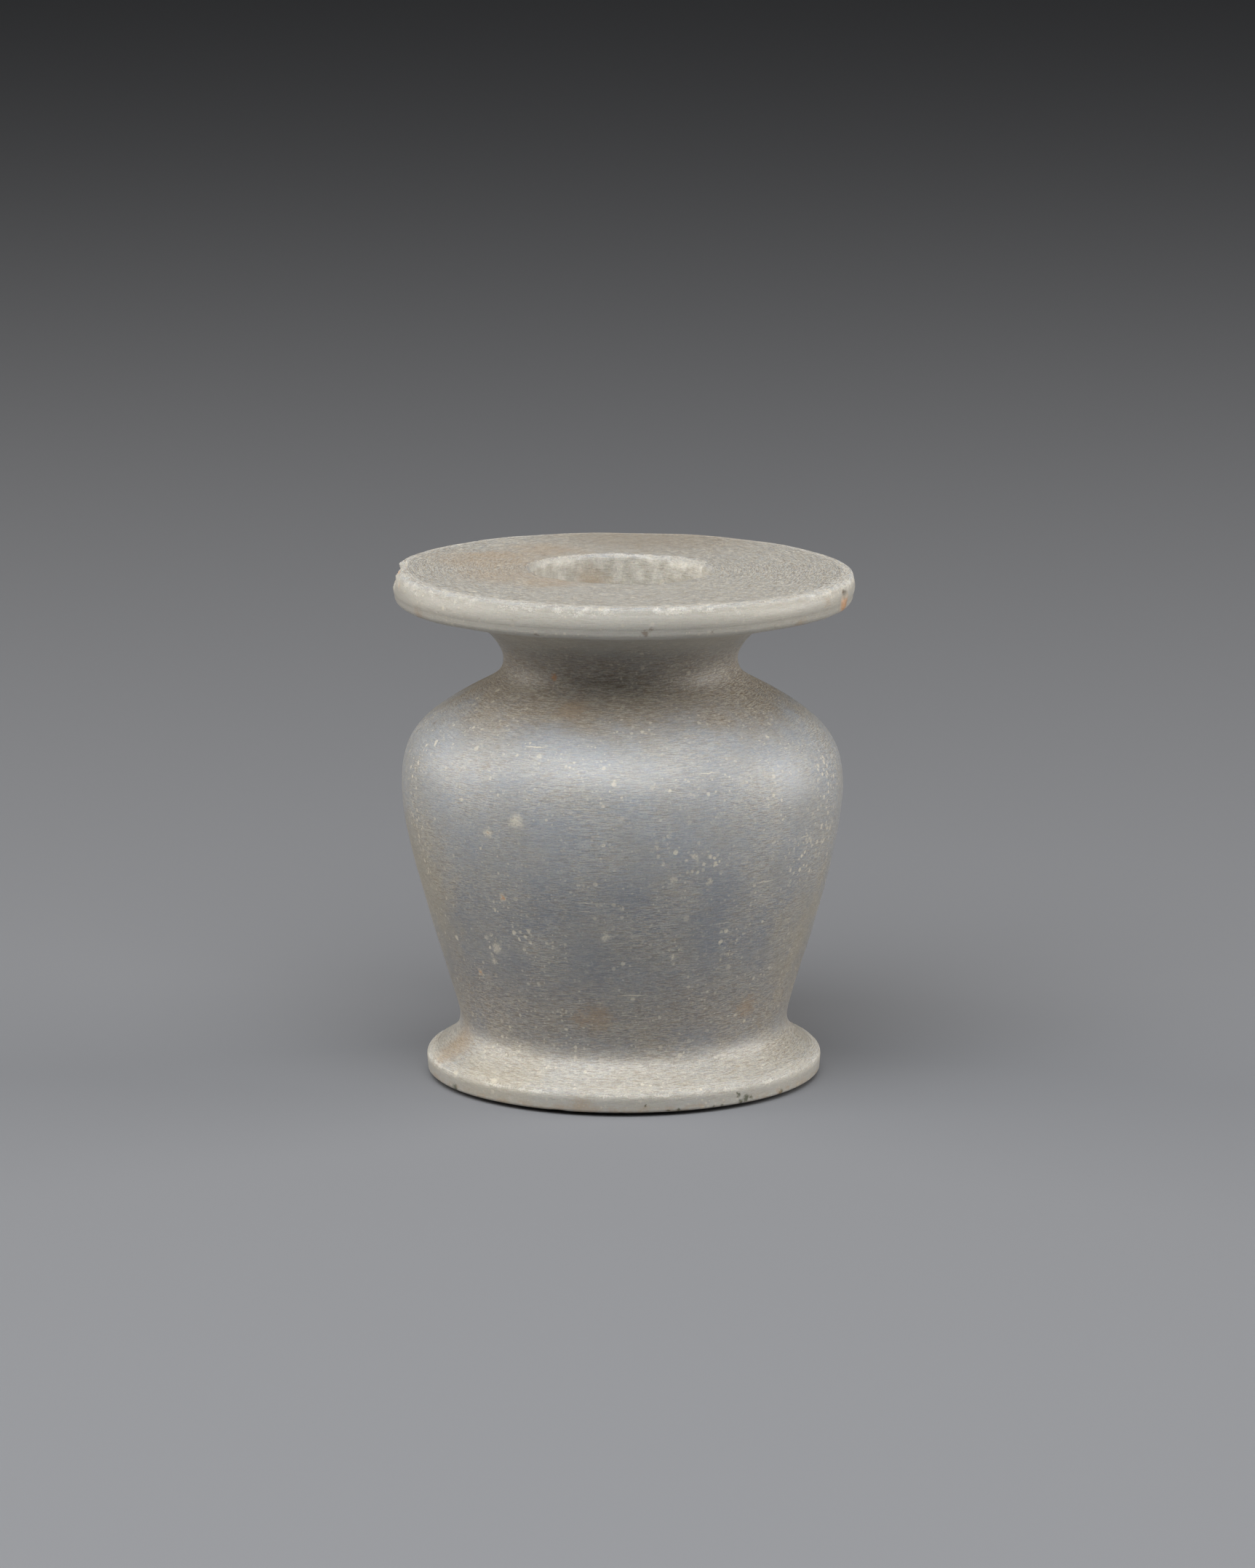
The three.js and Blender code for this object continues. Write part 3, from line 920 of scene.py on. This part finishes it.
def add_stains(w, look, zones):
    """Tan stains and a darker brown-grey patch at the back of the top, and warm stains round the
    outside.
    """
    height = w.jar.height / MM
    stains = w.either(*[w.times(w.hollow_spot((x, y, height), radius * 1.3, 6.0), strength)
                        for x, y, radius, strength in TOP_STAINS])
    fibrous = w.plus(w.times(w.streaks(1.6, 0.16, 0.4, 0.3, shift=43.0), 0.5), 0.6)
    w.coat(look.tan, stains, zones.top, fibrous)
    # Darkens the back of the top with the earth colour
    x, y, radius = TOP_SHADE
    w.coat(look.earth, zones.top, w.hollow_spot((x, y, height), radius, 6.0), 0.4)
    w.coat(look.tan, w.spots(WARM_STAINS, 3.0), w.remap(w.fine, 0.35, 0.6, 0.2, 0.45))


def add_wear(w, look):
    """Whitish bruises along the arrises and cream in the scars: returns the mask of both."""
    worn = w.remap(w.noise(w.place, 0.25, 3.0, 0.6), 0.42, 0.6, 0.15, 1.0)
    wear = w.times(worn, w.either(w.arris("rim high", 0.1, 0.9), w.arris("foot high", 0.4, 0.5),
                                  w.times(w.arris("lip", 0.3, 0.3), 0.3)))
    w.coat(look.bruise, wear, w.remap(w.fine, 0.3, 0.6, 0.2, 0.5))
    broken = w.times(w.scar, w.remap(w.fine, 0.35, 0.6, 0.2, 0.5))
    w.coat(look.cream, broken)
    return w.either(wear, broken)


def add_spots(w, look, zones):
    """Spots at their own places, then a tan tinge and specks at the lower edges."""
    granular = w.remap(w.fine, 0.3, 0.6, 0.35, 0.7)
    w.coat(look.fleck, w.spots(WHITE_SPOTS), granular)
    w.coat(look.rust, w.spots(RUST_SPOTS), granular)
    w.coat(look.brown, w.spots(BROWN_SPOTS), 0.5)
    w.coat(look.moss, w.spots(MOSS_SPOTS, 0.9), 0.85)
    w.coat(look.tan, zones.low_edges, w.remap(w.medium, 0.4, 0.65), 0.42)
    w.coat(look.brown, w.flecks(0.8, 0.16, 0.7),
           w.either(zones.low_edges, w.times(zones.sides, 0.35), 0.15), 0.8)


def add_crust(w, look, bore):
    """Whitish crust, a tan stain and rusty flecks on the bore's wall."""
    w.coat(look.bruise, bore, w.remap(w.medium, 0.35, 0.7), 0.5)
    w.coat(look.tan, bore, w.hollow_spot(BORE_TAN[:3], BORE_TAN[3], 4.0), 0.5)
    w.coat(look.rust, bore, w.hollow_spot(BORE_RUST[:3], BORE_RUST[3], 4.0),
           w.flecks(0.6, 0.3, 0.3), 0.6)


def add_grain(w, zones, calm, patchy):
    """Multiplies the ground by grain about one, coarser on the top, with a trace of tint."""
    rough = w.plus(w.times(calm, 0.3), w.plus(w.times(patchy, 0.6), w.times(w.either(
        zones.top, w.times(zones.neck, 0.5), w.times(zones.flare, 0.6)), 0.6)))
    pitted = w.noise(w.place, 2.0, 4.0, 0.75)
    swing = w.plus(w.times(w.minus(w.fine, 0.5), rough),
                   w.times(w.minus(pitted, 0.5), zones.top, 0.7))
    tint = w.vector("MULTIPLY", w.fine_push, (0.2,) * 3)
    grain = w.vector("ADD", tint, w.all_round(w.plus(1.0, swing)))
    w.ground = w.blend(1.0, w.ground, grain, "MULTIPLY")


def colour_stone(w, look, zones):
    """Lays the base colour, coat over coat, and returns the masks for gloss and relief.

    Calm holds the grain back on the sides of the rim and the foot.
    """
    calm = w.plus(w.times(zones.sides, -0.55), 1.0)
    patchy = w.times(w.remap(w.noise(w.place, 0.16, 3.0, 0.5), 0.36, 0.64, 0.32, 0.6), calm)
    lay_ground(w, look, zones)
    lines, dark_lines = add_streaks(w, look, zones, patchy)
    flecks = add_flecks(w, look)
    add_stains(w, look, zones)
    worn = add_wear(w, look)
    add_spots(w, look, zones)
    add_crust(w, look, zones.bore)
    add_grain(w, zones, calm, patchy)
    return SimpleNamespace(lines=lines, dark_lines=dark_lines, flecks=flecks, worn=worn)


def stone_material(jar, look, start):
    """The stone: worn satin polish over a mottled ground, with fine relief and some glow."""
    material = bpy.data.materials.new("Stone")
    material.use_nodes = True
    material.node_tree.nodes.clear()
    w = StoneWiring(material.node_tree, jar, start)
    zones = jar_zones(w)
    marks = colour_stone(w, look, zones)

    matt = w.either(marks.lines, marks.worn, zones.bore, marks.flecks)
    gloss = w.plus(look.roughness, w.either(w.times(matt, 0.2), w.times(zones.arrises, 0.4)))
    gloss = w.minus(gloss, w.times(zones.flare, 0.08))
    gloss = w.plus(gloss, w.remap(w.fine, 0.3, 0.7, -0.07, 0.07), clamp=True)

    relief = w.plus(w.times(marks.lines, 0.5), w.times(w.fine, 0.4))
    relief = w.minus(relief, marks.dark_lines)
    relief = w.minus(relief, w.times(marks.flecks, 0.4))
    relief = w.plus(relief, w.times(w.either(marks.worn, zones.bore), w.medium, 1.5))
    bump = w.add("ShaderNodeBump", {"Height": relief, "Strength": 0.6,
                                    "Distance": 0.03 * MM}).outputs[0]

    shader = w.add("ShaderNodeBsdfPrincipled", {
        "Base Color": w.ground, "Roughness": gloss, "Normal": bump, "IOR": 1.6,
        "Subsurface Weight": look.translucency, "Subsurface Scale": 1.6 * MM,
        "Subsurface Radius": (1.0, 0.85, 0.65)})
    w.add("ShaderNodeOutputMaterial", {"Surface": shader.outputs[0]})
    return material


class CarveStoneJar(bpy.types.Operator):
    """Carve the jar: foot, body, neck, disc rim and bore, in one piece of stone"""

    bl_idname = "object.carve_stone_jar"
    bl_label = "Carve the stone jar"

    def execute(self, context):
        jar = context.scene.jar_sizes
        rings, walked, scar, start = jar_surface(jar)
        floor_middle = (BORE_OFFSET, 0, jar.floor_thickness)
        mesh = mesh_from_rings("Stone jar", rings, (0, 0, 0), floor_middle)
        along = np.repeat(walked[:, None] / MM, rings.shape[1], axis=1)
        floor_along = (start["floor"] + jar.bore_radius - FLOOR_ROUNDING) / MM
        store(mesh, "along", along, 0, floor_along)
        store(mesh, "scar", scar, 0, 0)
        mesh.materials.append(stone_material(jar, context.scene.stone_look, start))
        piece = bpy.data.objects.new("Stone jar", mesh)
        piece.name = "stone_jar"
        context.scene.collection.objects.link(piece)
        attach(piece, "root")
        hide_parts("jar")
        return {"FINISHED"}


def plain_material(name, shade):
    """A matt material of one colour."""
    material = bpy.data.materials.new(name)
    material.use_nodes = True
    shader = material.node_tree.nodes["Principled BSDF"]
    shader.inputs["Base Color"].default_value = shade
    shader.inputs["Roughness"].default_value = 0.9
    shader.inputs["Specular IOR Level"].default_value = 0.2
    return material


def floor_mesh(half):
    """A flat square at level nought: four corners, half a side from the middle."""
    corners = np.array([(-half, -half, 0), (half, -half, 0), (half, half, 0), (-half, half, 0)])
    mesh = bpy.data.meshes.new("Floor")
    mesh.from_pydata(corners.tolist(), [], [(0, 1, 2, 3)])
    return mesh


def soft_light(context, name, turn, rise, distance, size, power, tint):
    """An area light, as wide and as tall as its size, that faces the jar from a turn and a
    rise in degrees."""
    turn, rise = math.radians(turn), math.radians(rise)
    light = bpy.data.lights.new(name, "AREA")
    light.shape = "RECTANGLE"
    light.size, light.size_y = size
    light.energy = power
    light.color = tint
    lamp = bpy.data.objects.new(name, light)
    lamp.location = (distance * math.sin(turn) * math.cos(rise),
                     -distance * math.cos(turn) * math.cos(rise),
                     HEIGHT / 2 + distance * math.sin(rise))
    lamp.rotation_euler = (math.pi / 2 - rise, 0, turn)
    context.scene.collection.objects.link(lamp)


class SetStudio(bpy.types.Operator):
    """Set the plain floor, the soft lights and the camera"""

    bl_idname = "scene.set_jar_studio"
    bl_label = "Set the studio"

    def execute(self, context):
        setting = context.scene.stage_setting
        floor = bpy.data.objects.new("Floor", floor_mesh(6.0))
        floor.data.materials.append(plain_material("Studio floor", setting.floor))
        context.scene.collection.objects.link(floor)

        world = bpy.data.worlds.new("Studio air")
        world.use_nodes = True
        sky = world.node_tree.nodes["Background"].inputs
        sky["Color"].default_value = linear(228, 230, 232)
        sky["Strength"].default_value = setting.ambient
        context.scene.world = world

        soft_light(context, "Key", -12, 56, 0.6, (0.78, 0.52), setting.key_power,
                   (0.97, 0.985, 1.0))
        soft_light(context, "Right side", 92, 19, 0.7, (0.5, 0.5), setting.side_power,
                   (1.0, 0.97, 0.93))
        soft_light(context, "Left side", -98, 22, 0.7, (0.5, 0.5),
                   LEFT_SHARE * setting.side_power, (1.0, 0.95, 0.88))

        camera = bpy.data.cameras.new("Camera")
        camera.sensor_fit = "VERTICAL"
        camera.sensor_height = 36
        camera.lens = setting.lens
        camera.clip_end = 20
        eye = bpy.data.objects.new("Camera", camera)
        eye.location = (CAMERA_OFFSET, -setting.distance * math.cos(setting.pitch),
                        setting.aim_height + setting.distance * math.sin(setting.pitch))
        eye.rotation_euler = (math.pi / 2 - setting.pitch, 0, 0)
        context.scene.collection.objects.link(eye)
        context.scene.camera = eye
        context.scene.view_settings.view_transform = "Standard"
        return {"FINISHED"}


class StoneJarPanel(bpy.types.Panel):
    """Lists the jar's sizes, its stone and the studio"""

    bl_idname = "VIEW3D_PT_stone_jar"
    bl_label = "Stone jar"
    bl_space_type = "VIEW_3D"
    bl_region_type = "UI"
    bl_category = "Stone jar"

    def draw(self, context):
        scene = context.scene
        for settings, operator in ((scene.jar_sizes, CarveStoneJar), (scene.stone_look, None),
                                   (scene.stage_setting, SetStudio)):
            column = self.layout.column()
            for name in type(settings).__annotations__:
                column.prop(settings, name)
            if operator:
                column.operator(operator.bl_idname)


CLASSES = (JarSizes, StoneLook, StageSetting, CarveStoneJar, SetStudio, StoneJarPanel)


def register():
    for cls in CLASSES:
        bpy.utils.register_class(cls)
    bpy.types.Scene.jar_sizes = bpy.props.PointerProperty(type=JarSizes)
    bpy.types.Scene.stone_look = bpy.props.PointerProperty(type=StoneLook)
    bpy.types.Scene.stage_setting = bpy.props.PointerProperty(type=StageSetting)


def unregister():
    del bpy.types.Scene.stage_setting
    del bpy.types.Scene.stone_look
    del bpy.types.Scene.jar_sizes
    for cls in reversed(CLASSES):
        bpy.utils.unregister_class(cls)


def main():
    """Carves the jar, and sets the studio."""
    register()
    bpy.ops.object.carve_stone_jar()
    bpy.ops.scene.set_jar_studio()


if __name__ == "__main__":
    main()
